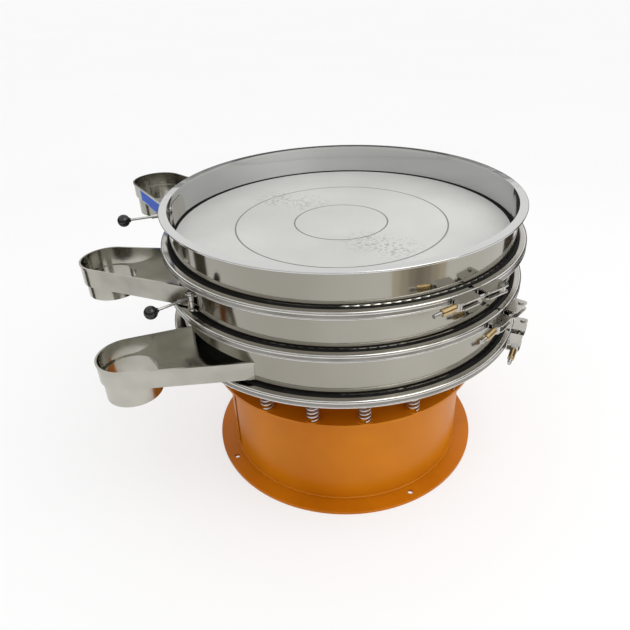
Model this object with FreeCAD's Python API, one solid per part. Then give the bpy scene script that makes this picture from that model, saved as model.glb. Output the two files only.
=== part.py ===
import FreeCAD, Part
import math
import os

os.makedirs("parts", exist_ok=True)

# Circular vibrating sieve, two screen decks on a sprung bed.
# Millimetres, +Z up, origin at the centre of the base's underside.
# Azimuths run anticlockwise from +X, seen from above.

# ---- driving sizes: the round body ----
SHELL_R = 500.0          # outside of every sieve frame
SHEET = 3.0              # stainless sheet of the frames
RIM_W = 20.0             # feed rim outside the frame
RIM_T = 6.0
RIM_ROUND = 2.0
TOP_FRAME_H = 106.7      # middle of the top joint to the feed rim
MIDDLE_FRAME_H = 115.9   # from joint to joint
BOTTOM_FRAME_H = 136.1

# ---- clamped joint ----
GASKET_HALF = 2.5        # half height of the rubber between two flanges
FLANGE_W = 18.0          # joint flange outside the frame
FLANGE_T = 5.0
BEND_R = 6.5             # bend between a frame's wall and its flange
SEAT = 0.3               # gap between faces that seat on one another
BAND_CLEAR = 6.0         # flange's edge to the band's inner wall
BAND_T = 3.0
BAND_LIP_W = 15.0        # width of the channel's lips
BEAD_T = 3.0             # rubber bead on the flange, inside the band's lip
BEAD_W = 4.0
BEAD_CLEAR = 0.5         # bead to the band's lip
BEAD_ROUND = 1.2
BAND_ROUND = 2.5
THIN_FIT = 0.03          # gasket faces to the flanges that squeeze them

# ---- screen decks ----
SCREEN_IN = 8.0          # screen's edge to the frame's inner wall
SCREEN_RISE = 15.7       # mesh above the middle of the joint
MESH_T = 1.0
RING_RADII = (313.0, 138.0)
RING_W = 5.0
RING_H = 4.0
RISER_T = 3.0            # stretching ring under the cloth
SCREEN_FLANGE_T = 2.8
GASKET_SLOT_T = 3.0      # slot of the rubber round the screen's flange
GASKET_EDGE_T = 2.0
LIP_DROP = 1.0           # gasket lip below the cloth

# ---- spouts ----
MOUTH_HALF = 15.3        # half of the mouth, degrees
SPOUT_LAG = 12.0         # outlet's lag behind the middle of the mouth, degrees
OUTLET_OUT = 192.0       # outlet centre from the frame
OUTLET_R = 74.0
TROUGH_MARGIN = 6.0      # trough's rounded end outside the outlet pipe
OUTLET_WALL = 3.0
HEM_W = 2.2              # folded hem along the trough's top edge
HEM_H = 5.0
MOUTH_INSET = 2.0        # opening inside the trough's walls, degrees
MOUTH_HEAD = 7.0         # opening's top below the trough's edge
WALL_START = 30.0        # trough walls begin this far inside the frame
# top, middle and bottom spout
SPOUT_AZ = (166.5, 200.5, 228.0)     # middle of the mouth
SPOUT_RISE = (23.0, 17.9, 24.0)      # trough's floor above the middle of its joint
SPOUT_WALL_H = (42.0, 57.0, 51.0)
SPOUT_DROP = (60.0, 42.0, 60.0)      # length of the outlet pipe

# ---- gates of the two upper spouts ----
GATE_FROM = 3.2          # far edge of the gate leaf, degrees from the mouth's middle
GATE_TO = 16.9
GATE_T = 2.5
GATE_H = 62.0
GATE_SILL = 2.0          # leaf above the trough's floor
GATE_ROUND = 24.0        # leaf's rounded top corners
GATE_SIDE = 2.0          # opening inside the leaf's far edge, degrees
GATE_GAP = 1.0           # leaf to the frame's inner wall
PIN_OUT = 14.0           # hinge pin from the frame
PIN_AZ = 20.0
PIN_R = 5.0
PIN_FIT = 0.1            # running clearance of the pin in its ears
PIN_HEAD = 2.5           # collar or boss wall round a pin
PIN_CAP_T = 4.0
STRAP_LOW = 22.0         # strap from the leaf to the pin, above the trough's floor
STRAP_HIGH = 38.0
STRAP_SLOT = 0.7         # slot past the pin, degrees
STRAP_GAP = 2.0
EAR_LOW = 14.0           # bracket, above the trough's floor
EAR_HIGH = 62.0
EAR_T = 3.0
EAR_R = 12.0
STRIP_FROM = 1.6         # back strip of the bracket, degrees past the pin
STRIP_TO = 2.6
LEVER_UP = 48.0          # lever axis above the trough's floor
HUB_WALL = 4.0
HUB_HALF = 7.0
LEVER_L = 112.0
LEVER_ROD_R = 3.5
LEVER_SLEEVE_R = 6.0
LEVER_SLEEVE_L = 30.0
KNOB_R = 17.5
KNOB_NECK_L = 4.0
KNOB_NECK_WALL = 3.0
ROD_INTO_KNOB = 8.0
LEVER_AZ = (33.4, 21.7)  # direction of the top and middle lever from the mouth's middle

# ---- clamp latches ----
LATCH_AZ = (306.0, 321.0, 336.0)
BOLT_OUT = 21.0          # swing bolt's axis from the band
BOLT_R = 5.0
BAND_GAP = 14.0
LUG_CLEAR = 6.4          # half of the space between a lug's cheeks
CHEEK_T = 3.5
CHEEK_ROUND = 9.0
LUG_EDGE = 2.0           # cheek past the eye's outside
LUG_WEB_T = 3.0
FORK_FROM = -72.0        # slotted lug, along the tangent
FORK_TO = -12.0
EYE_LUG_FROM = 12.0
EYE_LUG_TO = 84.0
EYE_AT = 68.0
EYE_R = 11.0
SADDLE_R = 10.0
SADDLE_OUT = 2.0         # saddle's centre past the end of the slotted lug
EYE_CLEAR = 0.4          # eye to the cheeks at its sides
NUT_L = 42.0
NUT_R = 9.0
NUT_CHAMFER = 1.5
BOLT_TIP = -150.0

# ---- vibrating bed and springs ----
BED_T = 5.0
SKIRT_IN = 20.0          # inside of the bed's skirt, inwards from the frame
CONE_IN = 64.0           # cone's start, inwards from the springs
SPRING_H = 125.0         # shelf to the ring that the springs carry
SKIRT_H = 26.3           # ring's underside to the bed's joint
BED_DEPTH = 65.0         # motor plate below the ring
SPRING_COUNT = 18
SPRING_OUT = 23.0        # spring circle outside the drum
SPRING_FIRST_AZ = 18.0
SPRING_OD = 39.0
WIRE_R = 2.8
SPRING_PITCH = 13.0
SEGMENTS_PER_TURN = 7
SEAT_R = 22.0
SEAT_T = 3.0
PEG_R = 11.5
PEG_H = 14.0
PEG_CHAMFER = 2.0

# ---- base ----
DRUM_R = 386.0
DRUM_T = 6.0
FOOT_W = 54.0            # base flange outside the drum
FOOT_IN = 66.0           # and inside its outer wall
BASE_T = 10.0
SHELF_W = 44.0           # spring shelf outside the drum
SHELF_IN = 86.0
SHELF_T = 8.0
SHELF_TOP = 340.0
ANCHOR_OUT = 26.0        # anchor circle outside the drum
ANCHOR_HOLE_R = 9.0
ANCHOR_FIRST_AZ = 29.3
ANCHOR_COUNT = 4
SLOT_AZ = 204.5
SLOT_W = 24.0
SLOT_FROM_Z = 22.0
SLOT_HEAD = 8.0          # slot's top below the shelf
GLAND_AZ = 60.0
GLAND_Z = 90.0
GLAND_R = 10.0
GLAND_IN = 12.0          # gland inside and outside the drum
GLAND_OUT = 18.0
GLAND_NUT_R = 14.0
GLAND_NUT_T = 9.0
GLAND_BORE_R = 5.0

# ---- vibration motor ----
MOTOR_R = 100.0
MOTOR_H = 175.0          # housing below the bed's plate
MOTOR_FLANGE_W = 65.0    # flange outside the housing
MOTOR_FLANGE_T = 16.0
MOTOR_BOLT_IN = 25.0     # bolt circle inside the flange's edge
MOTOR_BOLT_COUNT = 6
MOTOR_HOLE_R = 7.0
MOTOR_CAP_R = 62.0
MOTOR_CAP_T = 16.0
MOTOR_PLATE_OVER = 25.0  # bed's plate outside the motor's flange
BOLT_SHANK_R = 6.5
BOLT_HEAD_R = 11.0
BOLT_HEAD_H = 8.0
BOLT_PAST = 8.0          # bolt's end below the motor's flange
SHAFT_R = 19.0
SHAFT_FIT = 0.1
SHAFT_DOWN = 75.0        # shaft below the housing
SHAFT_ABOVE = 68.0       # shaft above the bed's plate
SHAFT_CHAMFER = 2.0
WEIGHT_R = 120.0
WEIGHT_T = 30.0
WEIGHT_HALF = 65.0       # half of the sector, degrees
WEIGHT_HUB_WALL = 16.0
UPPER_WEIGHT_UP = 24.0   # upper weight above the bed's plate
LOWER_WEIGHT_UP = 14.0   # lower weight above the shaft's end
WEIGHT_PHASE = 90.0      # lower weight's lead over the upper one, degrees
BOX_OUT = 48.0           # terminal box outside the housing
BOX_HALF_W = 38.0
BOX_H = 75.0
BOX_DOWN = 55.0          # box's top below the bed's plate
BOX_ROUND = 5.0
BOX_GLAND_R = 12.0
BOX_GLAND_L = 18.0
BOX_GLAND_AT = 20.0

# ---- discharge dome in the bottom frame ----
DOME_RISE = 70.0         # crown above the bottom trough's floor
DOME_TOP_R = 90.0
DOME_T = 3.0
DOME_EDGE_W = 20.0       # flat margin against the frame

# ---- places that follow ----
SPRING_RING_Z = SHELF_TOP + SPRING_H
BED_PLATE_Z = SPRING_RING_Z - BED_DEPTH
BOTTOM_JOINT_Z = SPRING_RING_Z + SKIRT_H
MIDDLE_JOINT_Z = BOTTOM_JOINT_Z + BOTTOM_FRAME_H
TOP_JOINT_Z = MIDDLE_JOINT_Z + MIDDLE_FRAME_H
RIM_Z = TOP_JOINT_Z + TOP_FRAME_H
JOINT_Z = (TOP_JOINT_Z, MIDDLE_JOINT_Z, BOTTOM_JOINT_Z)
INNER_R = SHELL_R - SHEET
SCREEN_R = INNER_R - SCREEN_IN
RIM_R = SHELL_R + RIM_W
FLANGE_R = SHELL_R + FLANGE_W
BAND_R = FLANGE_R + BAND_CLEAR + BAND_T
BAND_HALF = GASKET_HALF + FLANGE_T + SEAT + BAND_T
BOLT_AT = BAND_R + BOLT_OUT
PIN_AT = SHELL_R + PIN_OUT
OUTLET_AT = SHELL_R + OUTLET_OUT
TROUGH_END_R = OUTLET_R + TROUGH_MARGIN
SKIRT_R = SHELL_R - SKIRT_IN
SPRING_PCD_R = DRUM_R + SPRING_OUT
ANCHOR_R = DRUM_R + ANCHOR_OUT
MOTOR_LOW_Z = BED_PLATE_Z - MOTOR_H
MOTOR_FLANGE_R = MOTOR_R + MOTOR_FLANGE_W
MOTOR_BOLT_R = MOTOR_FLANGE_R - MOTOR_BOLT_IN
SHAFT_LOW_Z = MOTOR_LOW_Z - SHAFT_DOWN

UP = FreeCAD.Vector(0, 0, 1)
CENTRE = FreeCAD.Vector(0, 0, 0)


def save(shape, node):
    """Write one node."""
    shape.exportStep("parts/" + node + ".step")


def polar(radius, azimuth, z=0.0):
    """Point at a radius and an azimuth in degrees."""
    angle = math.radians(azimuth)
    return FreeCAD.Vector(radius * math.cos(angle), radius * math.sin(angle), z)


def turned(shape, azimuth):
    """Copy of a shape turned about the machine's axis."""
    result = shape.copy()
    result.rotate(CENTRE, UP, azimuth)
    return result


def disc(radius, low, high, at=CENTRE):
    """Upright cylinder between two heights."""
    foot = FreeCAD.Vector(at.x, at.y, low)
    return Part.makeCylinder(radius, high - low, foot, UP)


def ring(inner, outer, low, high, at=CENTRE):
    """Upright tube between two heights."""
    return disc(outer, low, high, at).cut(disc(inner, low - 1, high + 1, at))


def block(x0, x1, y0, y1, z0, z1):
    """Box between pairs of limits."""
    return Part.makeBox(x1 - x0, y1 - y0, z1 - z0, FreeCAD.Vector(x0, y0, z0))


def turned_section(points):
    """Solid of revolution about Z from (radius, height) points."""
    corners = [FreeCAD.Vector(r, 0, z) for r, z in points]
    face = Part.Face(Part.makePolygon(corners + corners[:1]))
    return face.revolve(CENTRE, UP, 360)


def around(shape, count, first):
    """Copies of a shape at even azimuths, as separate solids."""
    step = 360.0 / count
    return [turned(shape, first + step * i) for i in range(count)]


# ------------------------------------------------------------------ base

def base_flange():
    plate = ring(DRUM_R - FOOT_IN, DRUM_R + FOOT_W, 0, BASE_T)
    hole = disc(ANCHOR_HOLE_R, -1, BASE_T + 1, polar(ANCHOR_R, 0))
    for cutter in around(hole, ANCHOR_COUNT, ANCHOR_FIRST_AZ):
        plate = plate.cut(cutter)
    return plate


def base_drum():
    """Rolled drum with its service slot and the hole for the cable gland."""
    shelf_low = SHELF_TOP - SHELF_T
    drum = ring(DRUM_R - DRUM_T, DRUM_R, BASE_T, shelf_low)
    slot = block(DRUM_R - SLOT_W, DRUM_R + SLOT_W, -SLOT_W / 2, SLOT_W / 2, SLOT_FROM_Z,
                 shelf_low - SLOT_HEAD)
    slot = slot.makeFillet(SLOT_W / 2 - 0.5, [e for e in slot.Edges if is_along_x(e)])
    drum = drum.cut(turned(slot, SLOT_AZ))
    start = FreeCAD.Vector(DRUM_R - 2 * DRUM_T, 0, GLAND_Z)
    hole = Part.makeCylinder(GLAND_R, 3 * DRUM_T, start, FreeCAD.Vector(1, 0, 0))
    return drum.cut(turned(hole, GLAND_AZ))


def is_along_x(edge):
    """True for a straight edge that runs along X."""
    start, end = edge.Vertexes[0].Point, edge.Vertexes[-1].Point
    return abs(start.y - end.y) < 0.01 and abs(start.z - end.z) < 0.01


def drum_gland():
    """Cable gland with its hexagon, screwed through the drum."""
    axis = FreeCAD.Vector(1, 0, 0)
    start = FreeCAD.Vector(DRUM_R - DRUM_T - GLAND_IN, 0, GLAND_Z)
    length = GLAND_IN + DRUM_T + GLAND_OUT
    body = Part.makeCylinder(GLAND_R - PIN_FIT, length, start, axis)
    nut = hexagon(GLAND_NUT_R, GLAND_NUT_T)
    nut.rotate(CENTRE, FreeCAD.Vector(0, 1, 0), 90)
    nut.translate(FreeCAD.Vector(DRUM_R + SEAT, 0, GLAND_Z))
    bore = Part.makeCylinder(GLAND_BORE_R, length + 2, start - axis, axis)
    return turned(body.fuse(nut).cut(bore), GLAND_AZ)


def hexagon(radius, height):
    """Hexagonal prism on the origin, along Z."""
    corners = [polar(radius, 60 * i) for i in range(6)]
    face = Part.Face(Part.makePolygon(corners + corners[:1]))
    return face.extrude(FreeCAD.Vector(0, 0, height))


def spring_shelf():
    """Top ring of the base, which carries the springs."""
    return ring(DRUM_R - SHELF_IN, DRUM_R + SHELF_W, SHELF_TOP - SHELF_T, SHELF_TOP)


def spring_seat(low):
    """Washer and peg that hold one end of a spring."""
    washer = disc(SEAT_R, 0, SEAT_T)
    peg = disc(PEG_R, SEAT_T, SEAT_T + PEG_H)
    rounds = [e for e in peg.Edges if e.BoundBox.ZMin > SEAT_T + PEG_H - 0.1]
    peg = peg.makeChamfer(PEG_CHAMFER, rounds)
    seat = washer.fuse(peg).removeSplitter()
    if not low:
        seat = seat.mirror(CENTRE, UP)
    seat.translate(polar(SPRING_PCD_R, 0, SHELF_TOP if low else SPRING_RING_Z))
    return seat


def coil():
    """One spring as a mitred square wire along a helix."""
    low = SHELF_TOP + SEAT_T
    high = SPRING_RING_Z - SEAT_T
    radius = SPRING_OD / 2 - WIRE_R
    rise = high - low - 2 * WIRE_R
    turns = rise / SPRING_PITCH
    count = int(round(turns * SEGMENTS_PER_TURN))
    middle = polar(SPRING_PCD_R, 0)
    path = []
    for i in range(count + 1):
        point = polar(radius, 360.0 * i / SEGMENTS_PER_TURN, low + WIRE_R + rise * i / count)
        path.append(point + middle)
    return mitred_wire(path, WIRE_R, 4)


def mitred_wire(path, radius, sides):
    """Prismatic wire along a path, mitred at every corner so that each side stays flat."""
    along = [(b - a).normalize() for a, b in zip(path, path[1:])]
    across = along[0].cross(UP).normalize()
    over = across.cross(along[0])
    section = []
    for i in range(sides):
        angle = 2 * math.pi * i / sides
        section.append(path[0] + across * (radius * math.cos(angle)) + over * (radius * math.sin(angle)))
    faces = [Part.Face(Part.makePolygon(section + section[:1]))]
    for i, direction in enumerate(along):
        following = along[i + 1] if i + 1 < len(along) else direction
        normal = (direction + following).normalize()
        moved = []
        for point in section:
            reach = (path[i + 1] - point).dot(normal) / direction.dot(normal)
            moved.append(point + direction * reach)
        for j in range(sides):
            k = (j + 1) % sides
            corners = [section[j], section[k], moved[k], moved[j], section[j]]
            faces.append(Part.Face(Part.makePolygon(corners)))
        section = moved
    faces.append(Part.Face(Part.makePolygon(section + section[:1])))
    solid = Part.makeSolid(Part.makeShell(faces))
    if solid.Volume < 0:
        solid.reverse()
    return solid


# ------------------------------------------------------- vibrating body

def vibrating_bed():
    """Pressed bed: spring ring, cone and motor plate in one piece."""
    edge = SKIRT_R + BED_T
    top = SPRING_RING_Z + BED_T
    cone_r = SPRING_PCD_R - CONE_IN
    plate_r = MOTOR_FLANGE_R + MOTOR_PLATE_OVER
    bore = MOTOR_CAP_R + 1
    bed = turned_section([
        (edge, SPRING_RING_Z), (cone_r, SPRING_RING_Z), (plate_r + BED_T, BED_PLATE_Z),
        (bore, BED_PLATE_Z), (bore, BED_PLATE_Z + BED_T), (plate_r, BED_PLATE_Z + BED_T),
        (cone_r - BED_T, top), (edge, top)])
    hole = disc(MOTOR_HOLE_R, BED_PLATE_Z - 1, BED_PLATE_Z + BED_T + 1, polar(MOTOR_BOLT_R, 0))
    for cutter in around(hole, MOTOR_BOLT_COUNT, 0):
        bed = bed.cut(cutter)
    return bed


def bed_skirt():
    """Skirt on the spring ring, with the flange of the bottom joint."""
    inner = SKIRT_R
    outer = SKIRT_R + BED_T
    foot = SPRING_RING_Z + BED_T + SEAT
    flange_top = BOTTOM_JOINT_Z - GASKET_HALF
    flange_low = flange_top - FLANGE_T
    return turned_section([
        (inner, foot), (inner, flange_top), (FLANGE_R, flange_top), (FLANGE_R, flange_low),
        (outer, flange_low), (outer, foot)])


def frame_shell(low, high):
    """Rolled frame wall."""
    return ring(INNER_R, SHELL_R, low, high)


def joint_flange(z, above):
    """Flange of the frame above or below a joint."""
    near = z + GASKET_HALF if above else z - GASKET_HALF - FLANGE_T
    return ring(INNER_R, FLANGE_R, near, near + FLANGE_T)


def bent(body, joints):
    """Rounds the bends between a frame's wall and its flanges."""
    reach = GASKET_HALF + FLANGE_T
    bends = []
    for edge in body.Edges:
        at_wall = edge.Closed and abs(edge.BoundBox.XMax - SHELL_R) < 0.01
        near = [z for z in joints if abs(abs(edge.BoundBox.ZMin - z) - reach) < 0.01]
        if at_wall and near:
            bends.append(edge)
    return body.makeFillet(BEND_R, bends)


def floor_z(spout):
    """Top of a trough's floor."""
    return JOINT_Z[spout] + SPOUT_RISE[spout]


def window(spout):
    """Cutter for the opening behind an ungated trough."""
    azimuth = SPOUT_AZ[spout]
    low = floor_z(spout)
    high = low + SPOUT_WALL_H[spout] - MOUTH_HEAD
    reach = MOUTH_HALF - MOUTH_INSET
    return arc_slab(INNER_R - SHEET, SHELL_R + SHEET, azimuth - reach, azimuth + reach, low, high)


def gate_window(spout):
    """Cutters for the opening behind a gate and for its hinge strap."""
    azimuth = SPOUT_AZ[spout]
    low = floor_z(spout)
    high = low + SPOUT_WALL_H[spout] - MOUTH_HEAD
    inner = INNER_R - SHEET
    outer = SHELL_R + SHEET
    start = azimuth + GATE_FROM + GATE_SIDE
    mouth = arc_slab(inner, outer, start, azimuth + MOUTH_HALF - MOUTH_INSET, low, high)
    strap_start = azimuth + GATE_TO - STRAP_SLOT
    strap = arc_slab(inner, outer, strap_start, azimuth + PIN_AZ + STRAP_SLOT,
                     low + STRAP_LOW - STRAP_GAP, low + STRAP_HIGH + STRAP_GAP)
    return mouth.fuse(strap)


def arc_slab(inner, outer, start, end, low, high):
    """Part of a ring between two azimuths."""
    a, b = polar(inner, start, low), polar(inner, end, low)
    c, d = polar(outer, end, low), polar(outer, start, low)
    middle = (start + end) / 2
    inner_arc = Part.Arc(a, polar(inner, middle, low), b).toShape()
    outer_arc = Part.Arc(c, polar(outer, middle, low), d).toShape()
    wire = Part.Wire([inner_arc, Part.makeLine(b, c), outer_arc, Part.makeLine(d, a)])
    return Part.Face(wire).extrude(FreeCAD.Vector(0, 0, high - low))


def outer_circles(shape, radius):
    """Circular edges at a shape's outer radius."""
    return [e for e in shape.Edges if e.BoundBox.XMax > radius - 0.1 and e.Closed]


def top_frame():
    shell = frame_shell(TOP_JOINT_Z + GASKET_HALF, RIM_Z)
    rim = ring(INNER_R, RIM_R, RIM_Z - RIM_T, RIM_Z)
    rim = rim.makeFillet(RIM_ROUND, outer_circles(rim, RIM_R))
    body = shell.fuse([rim, joint_flange(TOP_JOINT_Z, True)]).removeSplitter()
    return bent(body, [TOP_JOINT_Z]).cut(gate_window(0))


def middle_frame():
    shell = frame_shell(MIDDLE_JOINT_Z + GASKET_HALF, TOP_JOINT_Z - GASKET_HALF)
    flanges = [joint_flange(TOP_JOINT_Z, False), joint_flange(MIDDLE_JOINT_Z, True)]
    body = shell.fuse(flanges).removeSplitter()
    return bent(body, [TOP_JOINT_Z, MIDDLE_JOINT_Z]).cut(gate_window(1))


def bottom_frame():
    shell = frame_shell(BOTTOM_JOINT_Z + GASKET_HALF, MIDDLE_JOINT_Z - GASKET_HALF)
    flanges = [joint_flange(MIDDLE_JOINT_Z, False), joint_flange(BOTTOM_JOINT_Z, True)]
    body = shell.fuse(flanges).removeSplitter()
    return bent(body, [MIDDLE_JOINT_Z, BOTTOM_JOINT_Z]).cut(window(2))


def discharge_dome():
    """Coned floor that sheds the fines to the rim of the bottom frame."""
    edge = INNER_R - SEAT
    low = floor_z(2) - DOME_T
    crown = low + DOME_T + DOME_RISE
    return turned_section([
        (0, crown - DOME_T), (0, crown), (DOME_TOP_R, crown),
        (edge - DOME_EDGE_W, low + DOME_T), (edge, low + DOME_T), (edge, low),
        (edge - DOME_EDGE_W, low), (DOME_TOP_R, crown - DOME_T)])


def screen_gasket(z):
    """Rubber channel round a screen's flange, with the lip that shows inside the frame."""
    lip_out = INNER_R - SEAT
    lip_in = SCREEN_R + SEAT
    lip_high = z + SCREEN_RISE - LIP_DROP
    pad_in = SCREEN_R + RISER_T
    slot_end = FLANGE_R - GASKET_EDGE_T
    half = GASKET_HALF - THIN_FIT
    slot = GASKET_SLOT_T / 2
    return turned_section([
        (pad_in, z - half), (FLANGE_R, z - half), (FLANGE_R, z + half), (lip_out, z + half),
        (lip_out, lip_high), (lip_in, lip_high), (lip_in, z + slot),
        (slot_end, z + slot), (slot_end, z - slot), (pad_in, z - slot)])


def bed_gasket():
    """Flat rubber ring between the bottom frame and the bed."""
    half = GASKET_HALF - THIN_FIT
    return ring(SKIRT_R + BED_T, FLANGE_R, BOTTOM_JOINT_Z - half, BOTTOM_JOINT_Z + half)


def screen_frame(z):
    """Stretching ring of a screen: clamped flange and riser."""
    half = SCREEN_FLANGE_T / 2
    inner = SCREEN_R - RISER_T
    edge = FLANGE_R - GASKET_EDGE_T - SEAT
    return turned_section([
        (inner, z - half), (edge, z - half), (edge, z + half),
        (SCREEN_R, z + half), (SCREEN_R, z + SCREEN_RISE), (inner, z + SCREEN_RISE)])


def screen_mesh(z):
    """Woven wire cloth, as one thin sheet."""
    return disc(SCREEN_R, z + SCREEN_RISE, z + SCREEN_RISE + MESH_T)


def screen_rings(z):
    """Two loose support rings bonded under the cloth."""
    high = z + SCREEN_RISE
    rings = [ring(r - RING_W / 2, r + RING_W / 2, high - RING_H, high) for r in RING_RADII]
    return Part.makeCompound(rings)


def band_bead(z):
    """Rubber bead on the frame's flange, along the band's upper lip."""
    low = z + GASKET_HALF + FLANGE_T + SEAT
    edge = BAND_R - BAND_LIP_W - BEAD_CLEAR
    bead = ring(edge - BEAD_W, edge, low, low + BEAD_T)
    return bead.makeFillet(BEAD_ROUND, outer_circles(bead, edge))


def lug(from_y, to_y, z):
    """Pair of cheeks welded on a band, joined by a web at the band."""
    root = BAND_R - BAND_T / 2
    reach = BOLT_AT + EYE_R + LUG_EDGE
    pair = []
    for side in (-1, 1):
        low = LUG_CLEAR if side > 0 else -LUG_CLEAR - CHEEK_T
        cheek = block(root, reach, from_y, to_y, z + low, z + low + CHEEK_T)
        corners = [e for e in cheek.Edges if is_along_z(e) and e.BoundBox.XMin > reach - 1]
        pair.append(cheek.makeFillet(CHEEK_ROUND, corners))
    height = LUG_CLEAR + CHEEK_T
    web = block(root, root + LUG_WEB_T, from_y, to_y, z - height, z + height)
    return pair[0].fuse([pair[1], web])


def is_along_z(edge):
    """True for a straight edge that runs along Z."""
    start, end = edge.Vertexes[0].Point, edge.Vertexes[-1].Point
    return abs(start.y - end.y) < 0.01 and abs(start.x - end.x) < 0.01


def clamp_band(index):
    """Split channel band with its slotted lug and its eye lug."""
    z = JOINT_Z[index]
    outer = ring(BAND_R - BAND_T, BAND_R, z - BAND_HALF, z + BAND_HALF)
    lip_r = BAND_R - BAND_LIP_W
    high_lip = ring(lip_r, BAND_R, z + BAND_HALF - BAND_T, z + BAND_HALF)
    low_lip = ring(lip_r, BAND_R, z - BAND_HALF, z - BAND_HALF + BAND_T)
    channel = outer.fuse([high_lip, low_lip]).removeSplitter()
    channel = channel.makeFillet(BAND_ROUND, outer_circles(channel, BAND_R))
    low = z - 2 * BAND_HALF
    high = z + 2 * BAND_HALF
    gap = block(lip_r - 1, BAND_R + 1, -BAND_GAP / 2, BAND_GAP / 2, low, high)
    channel = channel.cut(gap)
    fork = lug(FORK_FROM, FORK_TO, z).cut(disc(SADDLE_R + SEAT, low, high, saddle_place()))
    eye_lug = lug(EYE_LUG_FROM, EYE_LUG_TO, z).cut(disc(PIN_R, low, high, eye_place()))
    band = channel.fuse([fork, eye_lug])
    return turned(band, LATCH_AZ[index])


def saddle_place():
    """Centre of the saddle, in the notch at the end of the slotted lug."""
    return FreeCAD.Vector(BOLT_AT, FORK_FROM - SADDLE_OUT, 0)


def eye_place():
    """Axis of the pin that the bolt swings on."""
    return FreeCAD.Vector(BOLT_AT, EYE_AT, 0)


def latch_pin(index):
    """Pin through the eye lug, with a head at each end."""
    z = JOINT_Z[index]
    reach = LUG_CLEAR + CHEEK_T
    place = eye_place()
    shank = disc(PIN_R, z - reach - 1, z + reach + 1, place)
    heads = [disc(PIN_R + PIN_HEAD, z + reach + PIN_FIT, z + reach + CHEEK_T, place),
             disc(PIN_R + PIN_HEAD, z - reach - CHEEK_T, z - reach - PIN_FIT, place)]
    return turned(shank.fuse(heads), LATCH_AZ[index])


def swing_bolt(index):
    """Eye bolt with the saddle that seats in the slotted lug."""
    z = JOINT_Z[index]
    half = LUG_CLEAR - EYE_CLEAR
    place = eye_place()
    eye = disc(EYE_R, z - half, z + half, place)
    rod = Part.makeCylinder(BOLT_R, EYE_AT - BOLT_TIP, FreeCAD.Vector(BOLT_AT, BOLT_TIP, z),
                            FreeCAD.Vector(0, 1, 0))
    rod = rod.cut(disc(EYE_R - 1, z - EYE_R, z + EYE_R, place))
    high = LUG_CLEAR + CHEEK_T
    saddle = disc(SADDLE_R, z - high, z + high, saddle_place())
    bolt = eye.fuse([rod, saddle])
    bolt = bolt.cut(disc(PIN_R + PIN_FIT, z - EYE_R, z + EYE_R, place))
    return turned(bolt, LATCH_AZ[index])


def barrel_nut(index):
    """Long brass nut that draws the saddle into the lug."""
    z = JOINT_Z[index]
    head_y = saddle_place().y - SADDLE_R - SEAT
    axis = FreeCAD.Vector(0, -1, 0)
    start = FreeCAD.Vector(BOLT_AT, head_y, z)
    nut = Part.makeCylinder(NUT_R, NUT_L, start, axis)
    nut = nut.makeChamfer(NUT_CHAMFER, [e for e in nut.Edges if e.Closed])
    bore = Part.makeCylinder(BOLT_R + PIN_FIT / 2, NUT_L + 2, start - axis, axis)
    return turned(nut.cut(bore), LATCH_AZ[index])


# ---------------------------------------------------------------- spouts

def trough_lines(offset):
    """Corner points of the trough's plan, moved inwards by an offset, for a mouth at azimuth 0."""
    end = polar(OUTLET_AT, -SPOUT_LAG)
    radius = TROUGH_END_R - offset
    points = []
    for side in (1, -1):
        corner = polar(SHELL_R, side * MOUTH_HALF)
        reach = end - corner
        heading = math.degrees(math.atan2(reach.y, reach.x))
        opening = math.degrees(math.acos(-TROUGH_END_R / reach.Length))
        normal = polar(1.0, heading + side * opening)
        along = (corner - (end + normal * TROUGH_END_R)).normalize()
        tangent = end + normal * radius
        start = corner - normal * offset + along * WALL_START
        points.append((start, tangent))
    (near_start, near_tangent), (far_start, far_tangent) = points
    tip = end + (end - (near_start + far_start) * 0.5).normalize() * radius
    return near_start, near_tangent, tip, far_tangent, far_start


def trough_prism(offset, low, high):
    """Upright prism on the trough's plan."""
    near_start, near_tangent, tip, far_tangent, far_start = trough_lines(offset)
    wire = Part.Wire([
        Part.makeLine(near_start, near_tangent),
        Part.Arc(near_tangent, tip, far_tangent).toShape(),
        Part.makeLine(far_tangent, far_start),
        Part.makeLine(far_start, near_start)])
    prism = Part.Face(wire).extrude(FreeCAD.Vector(0, 0, high - low))
    prism.translate(FreeCAD.Vector(0, 0, low))
    return prism


def trough(spout):
    """Open trough: floor, wall, folded hem and the hole over the outlet pipe."""
    top_of_floor = floor_z(spout)
    low = top_of_floor - SHEET
    high = top_of_floor + SPOUT_WALL_H[spout]
    body = trough_prism(0, low, high).cut(trough_prism(SHEET, top_of_floor, high + 1))
    hem = trough_prism(-HEM_W, high - HEM_H, high).cut(trough_prism(0, high - HEM_H - 1, high + 1))
    body = body.fuse(hem)
    body = body.cut(disc(OUTLET_R - OUTLET_WALL, low - 1, high, polar(OUTLET_AT, -SPOUT_LAG)))
    body = body.cut(disc(SHELL_R + SEAT, low - 1, high + 1))
    return turned(body, SPOUT_AZ[spout])


def outlet_pipe(spout):
    """Short pipe under the trough."""
    high = floor_z(spout) - SHEET
    low = high - SPOUT_DROP[spout]
    centre = polar(OUTLET_AT, -SPOUT_LAG)
    pipe = ring(OUTLET_R - OUTLET_WALL, OUTLET_R, low, high, centre)
    return turned(pipe, SPOUT_AZ[spout])


# ----------------------------------------------------------------- gates

def pin_place(spout):
    """Axis of a gate's hinge."""
    return polar(PIN_AT, SPOUT_AZ[spout] + PIN_AZ)


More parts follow.
